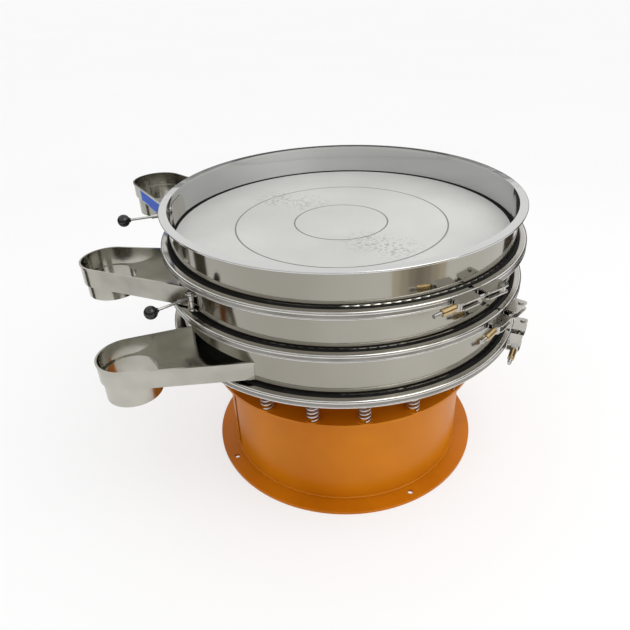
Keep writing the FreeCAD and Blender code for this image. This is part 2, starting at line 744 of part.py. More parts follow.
def gate_leaf(spout):
    """Curved leaf inside the frame, with the strap that reaches the hinge pin."""
    azimuth = SPOUT_AZ[spout]
    floor = floor_z(spout)
    low = floor + GATE_SILL
    outer = INNER_R - GATE_GAP
    leaf = arc_slab(outer - GATE_T, outer, azimuth + GATE_FROM, azimuth + GATE_TO, low, low + GATE_H)
    corners = [e for e in leaf.Edges if e.Length < GATE_T + 0.5 and e.BoundBox.ZMin > low + GATE_H - 1]
    leaf = leaf.makeFillet(GATE_ROUND, corners)
    start = polar(outer - GATE_T / 2, azimuth + GATE_TO - STRAP_SLOT / 2)
    end = pin_place(spout)
    strap = flat_bar(start, end, GATE_T, floor + STRAP_LOW, floor + STRAP_HIGH)
    boss = disc(PIN_R + PIN_HEAD, floor + STRAP_LOW, floor + STRAP_HIGH, end)
    leaf = leaf.fuse([strap, boss])
    return leaf.cut(disc(PIN_R, floor, floor + EAR_HIGH, end))


def flat_bar(start, end, width, low, high):
    """Upright flat bar between two plan points."""
    along = (end - start).normalize()
    aside = FreeCAD.Vector(-along.y, along.x, 0) * (width / 2)
    corners = [start + aside, end + aside, end - aside, start - aside]
    face = Part.Face(Part.makePolygon(corners + corners[:1]))
    bar = face.extrude(FreeCAD.Vector(0, 0, high - low))
    bar.translate(FreeCAD.Vector(0, 0, low))
    return bar


def gate_bracket(spout):
    """Two ears and a back strip on the frame, round the gate's hinge pin."""
    pin_az = SPOUT_AZ[spout] + PIN_AZ
    floor = floor_z(spout)
    place = pin_place(spout)
    wall_r = SHELL_R + SEAT
    high = floor + EAR_HIGH
    start = polar(wall_r - EAR_T, pin_az)
    strip_to = pin_az + STRIP_TO
    bracket = arc_slab(wall_r, wall_r + EAR_T, pin_az + STRIP_FROM, strip_to, floor + EAR_LOW, high)
    for low in (floor + EAR_LOW, high - EAR_T):
        bar = flat_bar(start, place, 2 * EAR_R, low, low + EAR_T)
        link = arc_slab(wall_r, wall_r + EAR_R, pin_az, strip_to, low, low + EAR_T)
        bracket = bracket.fuse([bar, link, disc(EAR_R, low, low + EAR_T, place)])
    bracket = bracket.cut(disc(wall_r, floor, high + 1))
    return bracket.cut(disc(PIN_R + PIN_FIT, floor, high + 1, place))


def gate_pin(spout):
    """Hinge pin with a collar at each end."""
    place = pin_place(spout)
    low = floor_z(spout) + EAR_LOW
    high = floor_z(spout) + EAR_HIGH
    pin = disc(PIN_R, low - 1, high + 1, place)
    cap = disc(PIN_R + PIN_HEAD, high + SEAT, high + PIN_CAP_T, place)
    foot = disc(PIN_R + PIN_HEAD, low - PIN_CAP_T, low - SEAT, place)
    return pin.fuse([cap, foot])


def at_pin(shape, spout):
    """Moves a piece modelled along +X onto the lever's axis."""
    place = pin_place(spout)
    shape.rotate(CENTRE, UP, SPOUT_AZ[spout] + LEVER_AZ[spout])
    shape.translate(FreeCAD.Vector(place.x, place.y, floor_z(spout) + LEVER_UP))
    return shape


def rod_along_x(radius, start, end):
    """Round bar along +X."""
    return Part.makeCylinder(radius, end - start, FreeCAD.Vector(start, 0, 0), FreeCAD.Vector(1, 0, 0))


def rod_end():
    """Distance from the pin to the lever's end inside the knob."""
    return LEVER_L - KNOB_R + ROD_INTO_KNOB


def gate_lever(spout):
    """Hub on the pin, sleeve and thin rod."""
    hub = disc(PIN_R + HUB_WALL, -HUB_HALF, HUB_HALF)
    sleeve = rod_along_x(LEVER_SLEEVE_R, PIN_R, PIN_R + LEVER_SLEEVE_L)
    rod = rod_along_x(LEVER_ROD_R, PIN_R, rod_end())
    lever = hub.fuse([sleeve, rod]).cut(disc(PIN_R, -2 * HUB_HALF, 2 * HUB_HALF))
    return at_pin(lever, spout)


def lever_knob(spout):
    """Ball knob on the end of the rod."""
    ball = Part.makeSphere(KNOB_R, FreeCAD.Vector(LEVER_L, 0, 0), UP)
    neck_at = LEVER_L - KNOB_R - KNOB_NECK_L / 2
    neck = rod_along_x(LEVER_ROD_R + KNOB_NECK_WALL, neck_at, neck_at + 2 * KNOB_NECK_L)
    bore = rod_along_x(LEVER_ROD_R + SEAT, PIN_R, rod_end() + SEAT)
    return at_pin(ball.fuse(neck).cut(bore), spout)


# ----------------------------------------------------------------- motor

def motor_body():
    """Cylindrical stator housing with the flange that bolts under the bed."""
    flange_top = BED_PLATE_Z - SEAT
    flange_low = flange_top - MOTOR_FLANGE_T
    body = disc(MOTOR_R, MOTOR_LOW_Z, flange_low + 2)
    flange = disc(MOTOR_FLANGE_R, flange_low, flange_top)
    body = body.fuse(flange).removeSplitter()
    body = body.cut(disc(SHAFT_R + SHAFT_FIT, MOTOR_LOW_Z - 1, flange_top + 1))
    hole = disc(MOTOR_HOLE_R, flange_low - 1, flange_top + 1, polar(MOTOR_BOLT_R, 0))
    for cutter in around(hole, MOTOR_BOLT_COUNT, 0):
        body = body.cut(cutter)
    return body


def motor_cap(low, high):
    """Bearing cover round the shaft."""
    cap = disc(MOTOR_CAP_R, low, high)
    return cap.cut(disc(SHAFT_R + SHAFT_FIT, low - 1, high + 1))


def motor_bolts():
    """Six bolts that hang the motor from the bed's plate."""
    head_low = BED_PLATE_Z + BED_T + SEAT
    end = BED_PLATE_Z - MOTOR_FLANGE_T - BOLT_PAST
    bolt = disc(BOLT_SHANK_R, end, head_low, polar(MOTOR_BOLT_R, 0))
    head = hexagon(BOLT_HEAD_R, BOLT_HEAD_H)
    head.translate(polar(MOTOR_BOLT_R, 0, head_low))
    return Part.makeCompound(around(bolt.fuse(head), MOTOR_BOLT_COUNT, 0))


def terminal_box():
    """Terminal box on the side of the motor, with its cable gland."""
    face = MOTOR_R + BOX_OUT
    high = BED_PLATE_Z - BOX_DOWN
    low = high - BOX_H
    box = block(MOTOR_R - BOX_ROUND, face, -BOX_HALF_W, BOX_HALF_W, low, high)
    box = box.makeFillet(BOX_ROUND, [e for e in box.Edges if e.BoundBox.XMin > face - 1])
    gland_at = FreeCAD.Vector(MOTOR_R + BOX_GLAND_AT, 0, 0)
    box = box.fuse(disc(BOX_GLAND_R, low - BOX_GLAND_L, low + 1, gland_at))
    return turned(box.cut(disc(MOTOR_R + SEAT, MOTOR_LOW_Z, BED_PLATE_Z)), GLAND_AZ)


def rotor_shaft():
    """Shaft that runs out of both ends of the motor."""
    shaft = disc(SHAFT_R, SHAFT_LOW_Z, BED_PLATE_Z + SHAFT_ABOVE)
    return shaft.makeChamfer(SHAFT_CHAMFER, [e for e in shaft.Edges if e.Closed])


def eccentric_weight(low, phase):
    """Sector weight clamped on the shaft."""
    sector = arc_slab(SHAFT_R - 1, WEIGHT_R, -WEIGHT_HALF, WEIGHT_HALF, low, low + WEIGHT_T)
    hub = disc(SHAFT_R + WEIGHT_HUB_WALL, low, low + WEIGHT_T)
    weight = sector.fuse(hub).cut(disc(SHAFT_R, low - 1, low + WEIGHT_T + 1))
    return turned(weight, phase)


# ------------------------------------------------------------------ build

def build_base():
    save(base_flange(), "base_flange")
    save(base_drum(), "base_drum")
    save(drum_gland(), "drum_cable_gland")
    save(spring_shelf(), "spring_shelf")
    low_seats = around(spring_seat(True), SPRING_COUNT, SPRING_FIRST_AZ)
    save(Part.makeCompound(low_seats), "lower_spring_seats")
    high_seats = around(spring_seat(False), SPRING_COUNT, SPRING_FIRST_AZ)
    save(Part.makeCompound(high_seats), "upper_spring_seats")
    save(Part.makeCompound(around(coil(), SPRING_COUNT, SPRING_FIRST_AZ)), "coil_springs")


def build_motor():
    save(motor_body(), "motor_body")
    upper_cap = motor_cap(BED_PLATE_Z + SEAT, BED_PLATE_Z + MOTOR_CAP_T)
    lower_cap = motor_cap(MOTOR_LOW_Z - MOTOR_CAP_T, MOTOR_LOW_Z - SEAT)
    save(Part.makeCompound([upper_cap, lower_cap]), "motor_end_covers")
    save(motor_bolts(), "motor_bolts")
    save(terminal_box(), "motor_terminal_box")
    save(rotor_shaft(), "rotor_shaft")
    save(eccentric_weight(BED_PLATE_Z + UPPER_WEIGHT_UP, 0), "upper_eccentric_weight")
    save(eccentric_weight(SHAFT_LOW_Z + LOWER_WEIGHT_UP, WEIGHT_PHASE), "lower_eccentric_weight")


def build_frames():
    save(vibrating_bed(), "vibrating_bed")
    save(bed_skirt(), "bed_skirt")
    save(top_frame(), "top_frame")
    save(middle_frame(), "middle_frame")
    save(bottom_frame(), "bottom_frame")
    save(discharge_dome(), "discharge_dome")
    save(bed_gasket(), "bed_gasket")
    for index, deck in enumerate(("upper", "lower")):
        z = JOINT_Z[index]
        save(screen_gasket(z), deck + "_screen_gasket")
        save(screen_frame(z), deck + "_screen_frame")
        save(screen_mesh(z), deck + "_screen_mesh")
        save(screen_rings(z), deck + "_screen_rings")


def build_clamps():
    for index, level in enumerate(("top", "middle", "bottom")):
        save(band_bead(JOINT_Z[index]), level + "_band_bead")
        save(clamp_band(index), level + "_clamp_band")
        save(latch_pin(index), level + "_latch_pin")
        save(swing_bolt(index), level + "_swing_bolt")
        save(barrel_nut(index), level + "_barrel_nut")


def build_spouts():
    for spout, level in enumerate(("top", "middle", "bottom")):
        save(trough(spout), level + "_spout_trough")
        save(outlet_pipe(spout), level + "_spout_pipe")
    for spout, level in enumerate(("top", "middle")):
        save(gate_bracket(spout), level + "_gate_bracket")
        save(gate_leaf(spout), level + "_gate_leaf")
        save(gate_pin(spout), level + "_gate_pin")
        save(gate_lever(spout), level + "_gate_lever")
        save(lever_knob(spout), level + "_lever_knob")


build_base()
build_motor()
build_frames()
build_clamps()
build_spouts()
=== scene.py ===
import bpy
import math
from mathutils import Matrix, Vector


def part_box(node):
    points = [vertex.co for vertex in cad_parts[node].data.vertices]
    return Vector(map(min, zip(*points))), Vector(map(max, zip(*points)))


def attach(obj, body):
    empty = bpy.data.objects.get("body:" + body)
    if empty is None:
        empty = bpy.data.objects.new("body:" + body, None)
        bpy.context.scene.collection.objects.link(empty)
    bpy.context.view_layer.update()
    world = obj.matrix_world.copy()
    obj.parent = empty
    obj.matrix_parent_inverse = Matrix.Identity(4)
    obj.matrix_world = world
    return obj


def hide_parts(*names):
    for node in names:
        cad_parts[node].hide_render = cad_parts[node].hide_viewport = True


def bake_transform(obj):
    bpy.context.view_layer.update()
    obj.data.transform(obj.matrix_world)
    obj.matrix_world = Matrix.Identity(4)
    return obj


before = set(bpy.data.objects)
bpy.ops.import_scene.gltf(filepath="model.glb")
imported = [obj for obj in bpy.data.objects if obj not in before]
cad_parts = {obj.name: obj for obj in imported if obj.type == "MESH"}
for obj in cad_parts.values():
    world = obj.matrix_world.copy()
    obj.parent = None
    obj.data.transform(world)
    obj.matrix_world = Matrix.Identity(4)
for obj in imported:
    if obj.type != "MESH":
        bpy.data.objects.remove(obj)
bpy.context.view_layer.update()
bpy.ops.object.select_all(action="DESELECT")

# ------------------------------------------------------------------ base
# The base is a rolled drum with a foot ring and a spring shelf, all mild steel welded
# together and sprayed in gloss orange enamel. The enamel runs a little uneven over the
# rolled sheet.


def link(tree, source, output, target, socket):
    """Joins two shader nodes."""
    tree.links.new(source.outputs[output], target.inputs[socket])


def noise_factor(tree, scale, detail, stretch):
    """Noise in object coordinates, stretched by a scale for each axis."""
    place = tree.nodes.new("ShaderNodeTexCoord")
    mapping = tree.nodes.new("ShaderNodeMapping")
    mapping.inputs["Scale"].default_value = stretch
    noise = tree.nodes.new("ShaderNodeTexNoise")
    noise.inputs["Scale"].default_value = scale
    noise.inputs["Detail"].default_value = detail
    link(tree, place, "Object", mapping, "Vector")
    link(tree, mapping, "Vector", noise, "Vector")
    return noise


def finish_of(name, dark, light, metallic, rough_low, rough_high, patch, grain, bump, stretch=(1, 1, 1)):
    """Material with two close colours in patches, uneven roughness and a fine bump."""
    material = bpy.data.materials.new(name)
    material.use_nodes = True
    tree = material.node_tree
    shader = tree.nodes["Principled BSDF"]
    shader.inputs["Metallic"].default_value = metallic
    patches = noise_factor(tree, patch, 3, stretch)
    ramp = tree.nodes.new("ShaderNodeValToRGB")
    ramp.name = "colours"
    ramp.color_ramp.elements[0].position = 0.32
    ramp.color_ramp.elements[0].color = (*dark, 1)
    ramp.color_ramp.elements[1].position = 0.68
    ramp.color_ramp.elements[1].color = (*light, 1)
    link(tree, patches, "Fac", ramp, "Fac")
    link(tree, ramp, "Color", shader, "Base Color")
    span = tree.nodes.new("ShaderNodeMapRange")
    span.inputs["To Min"].default_value = rough_low
    span.inputs["To Max"].default_value = rough_high
    link(tree, patches, "Fac", span, "Value")
    link(tree, span, "Result", shader, "Roughness")
    fine = noise_factor(tree, grain, 2, stretch)
    relief = tree.nodes.new("ShaderNodeBump")
    relief.name = "relief"
    relief.inputs["Strength"].default_value = bump
    relief.inputs["Distance"].default_value = 0.0004
    link(tree, fine, "Fac", relief, "Height")
    link(tree, relief, "Normal", shader, "Normal")
    return material


def dress(material, *nodes):
    """Gives CAD nodes a material."""
    for node in nodes:
        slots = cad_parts[node].data.materials
        slots.clear()
        slots.append(material)


ENAMEL_DARK = (0.44, 0.125, 0.002)
ENAMEL_LIGHT = (0.58, 0.190, 0.004)
enamel = finish_of("orange_enamel", ENAMEL_DARK, ENAMEL_LIGHT, 0.0, 0.22, 0.38, 3.0, 90.0, 0.25)
enamel.node_tree.nodes["Principled BSDF"].inputs["Specular IOR Level"].default_value = 0.18
dress(enamel, "base_drum", "spring_shelf", "base_flange", "vibrating_bed", "bed_skirt")
dress(enamel, "lower_spring_seats", "upper_spring_seats")


def smooth_closed(piece, degrees):
    """Merges doubles, closes holes, turns normals outwards and smooths by angle."""
    bpy.ops.object.mode_set(mode="EDIT")
    bpy.ops.mesh.select_all(action="SELECT")
    bpy.ops.mesh.remove_doubles(threshold=0.00001)
    bpy.ops.mesh.fill_holes(sides=0)
    bpy.ops.mesh.select_all(action="SELECT")
    bpy.ops.mesh.normals_make_consistent(inside=False)
    bpy.ops.object.mode_set(mode="OBJECT")
    bpy.ops.object.shade_smooth_by_angle(angle=math.radians(degrees))
    return piece


def apply_all(piece):
    """Applies place, turn and every modifier, so the piece lies in its mesh."""
    bpy.ops.object.transform_apply(location=True, rotation=True, scale=True)
    for modifier in list(piece.modifiers):
        bpy.ops.object.modifier_apply(modifier=modifier.name)


WELD_R = 0.0042
WELD_STEPS = 240
WELD_SIDES = 10
WELD_WAVE = 0.0007


def weld_bead(name, radius, height):
    """Weld that runs once round the drum, rippled by the weaving of the torch."""
    bpy.ops.object.select_all(action="DESELECT")
    bpy.ops.mesh.primitive_circle_add(vertices=WELD_SIDES, radius=WELD_R, location=(radius, 0, height),
                                      rotation=(math.radians(90), 0, 0))
    bead = bpy.context.object
    bead.name = name
    apply_all(bead)
    bpy.ops.object.mode_set(mode="EDIT")
    bpy.ops.mesh.select_all(action="SELECT")
    bpy.ops.mesh.spin(steps=WELD_STEPS, angle=2 * math.pi, center=(0, 0, 0), axis=(0, 0, 1))
    bpy.ops.object.mode_set(mode="OBJECT")
    for vertex in bead.data.vertices:
        around = math.atan2(vertex.co.y, vertex.co.x)
        swell = WELD_WAVE * math.sin(around * WELD_STEPS / 4)
        outward = Vector((vertex.co.x, vertex.co.y, 0)).normalized()
        vertex.co += outward * swell
    smooth_closed(bead, 60)
    bead.data.materials.append(enamel)
    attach(bead, "base")
    return bead


drum_low, drum_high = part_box("base_drum")
weld_bead("foot_weld", drum_high.x, drum_low.z + WELD_R / 2)
weld_bead("shelf_weld", drum_high.x, drum_high.z - WELD_R / 2)

# The cable gland is moulded black nylon, screwed through the drum at the back.
nylon = finish_of("black_nylon", (0.012, 0.012, 0.012), (0.03, 0.03, 0.03), 0.0, 0.35, 0.5, 40.0, 300.0, 0.2)
dress(nylon, "drum_cable_gland")

# ---------------------------------------------------------------- springs
# Eighteen coil springs carry the bed on the shelf. They are cold wound from round wire and
# bright plated, and sit over a peg at each end. Each follows the shelf below and the bed above.
SPRING_COUNT = 18
SPRING_FIRST = math.radians(18)
SPRING_CIRCLE_R = 0.409
SPRING_WIRE_R = 0.0028
SPRING_COIL_R = 0.0167
SPRING_TURNS = 8.7
STEPS_PER_TURN = 24
WIRE_SIDES = 12


def wound_wire(name, wire_r, coil_r, rise, turns):
    """Round wire wound about the Z axis, from z = 0 upwards."""
    bpy.ops.object.select_all(action="DESELECT")
    bpy.ops.mesh.primitive_circle_add(vertices=WIRE_SIDES, radius=wire_r, location=(coil_r, 0, 0),
                                      rotation=(math.radians(90), 0, 0))
    wire = bpy.context.object
    wire.name = name
    winding = wire.modifiers.new("winding", "SCREW")
    winding.angle = 2 * math.pi * turns
    winding.screw_offset = rise
    winding.steps = round(STEPS_PER_TURN * turns)
    winding.render_steps = winding.steps
    winding.use_merge_vertices = False
    bpy.ops.object.transform_apply(location=True, rotation=True, scale=True)
    bpy.ops.object.modifier_apply(modifier=winding.name)
    smooth_closed(wire, 60)
    return wire


def own_copy(piece, name):
    """Copy of a piece with its own mesh."""
    twin = piece.copy()
    twin.data = piece.data.copy()
    twin.name = name
    bpy.context.collection.objects.link(twin)
    return twin


plated = finish_of("plated_wire", (0.62, 0.62, 0.63), (0.8, 0.8, 0.81), 1.0, 0.08, 0.2, 30.0, 400.0, 0.1)
spring_low, spring_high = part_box("coil_springs")
first_spring = wound_wire("coil_spring_1", SPRING_WIRE_R, SPRING_COIL_R,
                          spring_high.z - spring_low.z - 2 * SPRING_WIRE_R, SPRING_TURNS)
first_spring.data.materials.append(plated)
springs = [first_spring]
for i in range(1, SPRING_COUNT):
    springs.append(own_copy(first_spring, "coil_spring_" + str(i + 1)))
for i, spring in enumerate(springs):
    turn = Matrix.Rotation(SPRING_FIRST + 2 * math.pi * i / SPRING_COUNT, 4, "Z")
    foot = Vector((SPRING_CIRCLE_R, 0, spring_low.z + SPRING_WIRE_R))
    spring.data.transform(turn @ Matrix.Translation(foot))
    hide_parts("coil_springs")
    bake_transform(spring)

# ------------------------------------------------------------------ motor
# The vibration motor hangs under the bed: a grey enamelled housing, covers and terminal
# box, hexagon bolts, and a steel shaft with a cast sector weight at each end.
motor_grey = finish_of("motor_enamel", (0.045, 0.055, 0.065), (0.07, 0.08, 0.09), 0.0, 0.3, 0.45, 12.0, 140.0, 0.4)
dress(motor_grey, "motor_body", "motor_end_covers", "motor_terminal_box")
turned = finish_of("turned_steel", (0.42, 0.41, 0.39), (0.58, 0.57, 0.55), 1.0, 0.2, 0.34, 25.0, 260.0, 0.2)
dress(turned, "motor_bolts", "rotor_shaft")
casting = finish_of("machined_casting", (0.05, 0.05, 0.05), (0.09, 0.088, 0.085), 0.4, 0.45, 0.65, 30.0, 180.0, 0.8)
dress(casting, "upper_eccentric_weight", "lower_eccentric_weight")

# ----------------------------------------------------------------- frames
# The three frames are rolled stainless sheet with bent flanges, polished to a mirror. The
# rolling leaves long, faint waves in the sheet, so what it mirrors bends a little.
MIRROR_DARK = (0.29, 0.275, 0.235)
MIRROR_LIGHT = (0.38, 0.365, 0.32)
mirror = finish_of("mirror_steel", MIRROR_DARK, MIRROR_LIGHT, 1.0, 0.07, 0.13, 2.2, 9.0, 0.9, (1, 1, 0.35))
mirror.node_tree.nodes["relief"].inputs["Distance"].default_value = 0.0012
# Inside the frames the same steel is coloured paler and bluer: a painted reflection of the pale screens.
INSIDE_R = 0.4984
INSIDE_REFLECTION_DARK = (0.50, 0.505, 0.50)
INSIDE_REFLECTION_LIGHT = (0.62, 0.625, 0.62)
# Above this height the top rim of the same steel is coloured paler: a painted highlight on the upward-facing rim.
RIM_LOW = 0.842
RIM_HIGHLIGHT = (0.60, 0.60, 0.59)


def radius_of(tree):
    """Distance from the machine's axis, as a node."""
    place = tree.nodes.new("ShaderNodeTexCoord")
    flat = tree.nodes.new("ShaderNodeVectorMath")
    flat.operation = "MULTIPLY"
    flat.inputs[1].default_value = (1, 1, 0)
    length = tree.nodes.new("ShaderNodeVectorMath")
    length.operation = "LENGTH"
    link(tree, place, "Object", flat, 0)
    link(tree, flat, "Vector", length, 0)
    return length


def mix_colour(tree, factor, first, second):
    """Mixes a colour output with a plain colour."""
    mix = tree.nodes.new("ShaderNodeMix")
    mix.data_type = "RGBA"
    mix.inputs[7].default_value = (*second, 1)
    tree.links.new(factor, mix.inputs[0])
    tree.links.new(first, mix.inputs[6])
    return mix.outputs[2]


def threshold(tree, value, limit, operation):
    """One where a value lies on one side of a limit."""
    test = tree.nodes.new("ShaderNodeMath")
    test.operation = operation
    test.inputs[1].default_value = limit
    tree.links.new(value, test.inputs[0])
    return test.outputs[0]


def paint_inside_reflection_and_rim_highlight(material):
    """Paints a paler, bluer reflection of the screens inside the frames and a paler highlight on the top rim."""
    tree = material.node_tree
    shader = tree.nodes["Principled BSDF"]
    # Painted reflection: inside this radius the steel takes a paler, bluer colour.
    inside = threshold(tree, radius_of(tree).outputs["Value"], INSIDE_R, "LESS_THAN")
    painted_reflection = tree.nodes.new("ShaderNodeValToRGB")
    painted_reflection.color_ramp.elements[0].color = (*INSIDE_REFLECTION_DARK, 1)
    painted_reflection.color_ramp.elements[1].color = (*INSIDE_REFLECTION_LIGHT, 1)
    link(tree, noise_factor(tree, 3.0, 2, (1, 1, 1)), "Fac", painted_reflection, "Fac")
    mix = tree.nodes.new("ShaderNodeMix")
    mix.data_type = "RGBA"
    tree.links.new(inside, mix.inputs[0])
    tree.links.new(tree.nodes["colours"].outputs[0], mix.inputs[6])
    tree.links.new(painted_reflection.outputs[0], mix.inputs[7])
    # Painted highlight: the top rim takes a paler colour; its roughness stays that of the frame.
    place = tree.nodes.new("ShaderNodeTexCoord")
    parts = tree.nodes.new("ShaderNodeSeparateXYZ")
    link(tree, place, "Object", parts, 0)
    on_rim = threshold(tree, parts.outputs["Z"], RIM_LOW, "GREATER_THAN")
    tree.links.new(mix_colour(tree, on_rim, mix.outputs[2], RIM_HIGHLIGHT), shader.inputs["Base Color"])


paint_inside_reflection_and_rim_highlight(mirror)
dress(mirror, "top_frame", "middle_frame", "bottom_frame")
satin = finish_of("satin_steel", (0.46, 0.455, 0.44), (0.58, 0.575, 0.56), 1.0, 0.2, 0.3, 6.0, 200.0, 0.15)
dress(satin, "discharge_dome", "upper_screen_frame", "lower_screen_frame")
dress(satin, "upper_screen_rings", "lower_screen_rings")
rubber = finish_of("black_rubber", (0.006, 0.006, 0.006), (0.016, 0.016, 0.016), 0.0, 0.6, 0.8, 20.0, 220.0, 0.3)
rubber.node_tree.nodes["Principled BSDF"].inputs["Specular IOR Level"].default_value = 0.12
dress(rubber, "bed_gasket", "upper_screen_gasket", "lower_screen_gasket")

# ---------------------------------------------------------------- screens
# Each deck is a fine woven wire cloth, glued tight on its ring. From a step away the weave
# shows as an even pale grey, a little darker where product dust has been wiped, and the two
# support rings under the cloth press through it as thin darker lines.
CLOTH_DARK = (0.52, 0.52, 0.50)
CLOTH_LIGHT = (0.60, 0.60, 0.58)
RING_RADII = (0.313, 0.138)
RING_LINE = 0.0022
WEAVE_PITCH = 0.0016
cloth = finish_of("wire_cloth", CLOTH_DARK, CLOTH_LIGHT, 0.35, 0.5, 0.65, 3.5, 900.0, 0.3)


def ring_lines(material, radii, half, shade):
    """Darkens a cloth along circles about the machine's axis."""
    tree = material.node_tree
    radius_from_axis = radius_of(tree).outputs["Value"]
    colour = tree.nodes["colours"].outputs[0]
    for radius in radii:
        near = tree.nodes.new("ShaderNodeMath")
        near.operation = "COMPARE"
        near.inputs[1].default_value = radius
        near.inputs[2].default_value = half
        tree.links.new(radius_from_axis, near.inputs[0])
        colour = mix_colour(tree, near.outputs[0], colour, shade)
    return colour


def dust_marks(material, colour, spots, reach, shade):
    """Speckles of product left on the cloth round a few spots."""
    tree = material.node_tree
    specks = noise_factor(tree, 110.0, 4, (1, 1, 1))
    strong = threshold(tree, specks.outputs["Fac"], 0.56, "GREATER_THAN")
    for spot in spots:
        place = tree.nodes.new("ShaderNodeTexCoord")
        away = tree.nodes.new("ShaderNodeVectorMath")
        away.operation = "DISTANCE"
        away.inputs[1].default_value = spot
        link(tree, place, "Object", away, 0)
        fade = tree.nodes.new("ShaderNodeMapRange")
        fade.inputs["From Max"].default_value = reach
        fade.inputs["To Min"].default_value = 0.75
        fade.inputs["To Max"].default_value = 0
        link(tree, away, "Value", fade, "Value")
        amount = tree.nodes.new("ShaderNodeMath")
        amount.operation = "MULTIPLY"
        tree.links.new(strong, amount.inputs[0])
        link(tree, fade, "Result", amount, 1)
        colour = mix_colour(tree, amount.outputs[0], colour, shade)
    return colour


DUST_SPOTS = ((-0.21, 0.21, 0.76), (-0.11, 0.17, 0.76), (0.07, -0.15, 0.76), (0.15, -0.20, 0.76))
lined = ring_lines(cloth, RING_RADII, RING_LINE, (0.2, 0.2, 0.19))
marked = dust_marks(cloth, lined, DUST_SPOTS, 0.085, (0.26, 0.25, 0.23))
cloth.node_tree.links.new(marked, cloth.node_tree.nodes["Principled BSDF"].inputs["Base Color"])


def weave_bump(material, pitch, strength):
    """Crossed fine ridges of the woven wires."""
    tree = material.node_tree
    place = tree.nodes.new("ShaderNodeTexCoord")
    ridges = []
    for direction in ("X", "Y"):
        wave = tree.nodes.new("ShaderNodeTexWave")
        wave.bands_direction = direction
        wave.inputs["Scale"].default_value = 1 / pitch / 20
        link(tree, place, "Object", wave, "Vector")
        ridges.append(wave)
    height = tree.nodes.new("ShaderNodeMath")
    height.operation = "MAXIMUM"
    link(tree, ridges[0], "Fac", height, 0)
    link(tree, ridges[1], "Fac", height, 1)
    relief = tree.nodes["relief"]
    relief.inputs["Strength"].default_value = strength
    link(tree, height, "Value", relief, "Height")


weave_bump(cloth, WEAVE_PITCH, 0.2)
dress(cloth, "upper_screen_mesh", "lower_screen_mesh")

# ------------------------------------------------------------------ bands
# Each joint is held by a split channel band of polished stainless strip, rolled with rounded
# edges, with the lugs of its latch welded on.
strip = finish_of("polished_strip", (0.42, 0.40, 0.365), (0.52, 0.50, 0.46), 1.0, 0.1, 0.2, 8.0, 60.0, 0.25)
dress(strip, "top_clamp_band", "middle_clamp_band", "bottom_clamp_band")


# The strip is rolled with a round edge above and below. The rolls are coloured paler, a painted
# highlight for the two bright lines, and the web between them darker, a painted shade; all is
# one polished steel. The rolls stop at the gap that the latch closes.
BAND_OUTER_R = 0.527
ROLL_R = {"upper": 0.0052, "lower": 0.0036}
ROLL_OUT = 0.0016
ROLL_PROUD = 0.0004
ROLL_SIDES = 16
ROLL_STEPS = 300
WEB_T = 0.0004
WEB_SHADE_DARK = (0.20, 0.195, 0.18)
WEB_SHADE_LIGHT = (0.30, 0.29, 0.27)
GAP_HALF_ANGLE = math.radians(0.9)
# Painted highlight on the rolls and painted shade on the web; both are the same polished strip.
highlight_roll = finish_of("highlight_roll", (0.60, 0.59, 0.56), (0.72, 0.71, 0.68), 1.0, 0.12, 0.2, 12.0, 90.0, 0.15)
shaded_web = finish_of("shaded_web", WEB_SHADE_DARK, WEB_SHADE_LIGHT, 1.0, 0.2, 0.3, 10.0, 120.0, 0.2)


def spun_part(name, material, azimuth):
    """Spins the selected outline round the axis, from one side of the latch gap to the other."""
    part = bpy.context.object
    part.name = name
    start = azimuth + GAP_HALF_ANGLE
    bpy.ops.object.transform_apply(location=True, rotation=True, scale=True)
    part.data.transform(Matrix.Rotation(start, 4, "Z"))
    bpy.ops.object.mode_set(mode="EDIT")
    bpy.ops.mesh.select_all(action="SELECT")
    bpy.ops.mesh.spin(steps=ROLL_STEPS, angle=2 * math.pi - 2 * GAP_HALF_ANGLE, center=(0, 0, 0),
                      axis=(0, 0, 1))
    bpy.ops.object.mode_set(mode="OBJECT")
    smooth_closed(part, 50)
    part.data.materials.append(material)
    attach(part, "sieve")
    return part


def rolled_band(level, azimuth):
    """Two rolled edges and the web of one band."""
    low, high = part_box(level + "_barrel_nut")
    middle = (low.z + high.z) / 2
    band_low, band_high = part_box(level + "_clamp_band")
    half = (band_high.z - band_low.z) / 2
    for side, side_name in ((1, "upper"), (-1, "lower")):
        radius = ROLL_R[side_name]
        centre = (BAND_OUTER_R + ROLL_OUT - radius, 0, middle + side * (half - radius + ROLL_PROUD))
        bpy.ops.object.select_all(action="DESELECT")
        bpy.ops.mesh.primitive_circle_add(vertices=ROLL_SIDES, radius=radius, location=centre,
                                          rotation=(math.radians(90), 0, 0))
        spun_part(level + "_band_" + side_name + "_roll", highlight_roll, azimuth)
    bpy.ops.object.select_all(action="DESELECT")
    bpy.ops.mesh.primitive_plane_add(size=1, location=(BAND_OUTER_R + WEB_T, 0, middle),
                                     rotation=(math.radians(90), 0, 0))
    bpy.context.object.scale = (WEB_T, 2 * half - 4 * WEB_T, 1)
    bpy.ops.object.transform_apply(location=True, rotation=True, scale=True)
    bpy.ops.object.mode_set(mode="EDIT")
    bpy.ops.mesh.delete(type="ONLY_FACE")
    bpy.ops.object.mode_set(mode="OBJECT")
    spun_part(level + "_band_web", shaded_web, azimuth)


for level, degrees in (("top", 306), ("middle", 321), ("bottom", 336)):
    rolled_band(level, math.radians(degrees))

# A soft black rubber bead closes the corner between the flange and the band's lip. It is
# pressed in by hand and stands a little proud of the steel.
BEAD_INNER_R = 0.5007
BEAD_OUTER_R = 0.5095
BEAD_FOOT = 0.0004
BEAD_PROUD = 0.0012
BEAD_STEPS = 360
BEAD_BEVEL = 0.0014


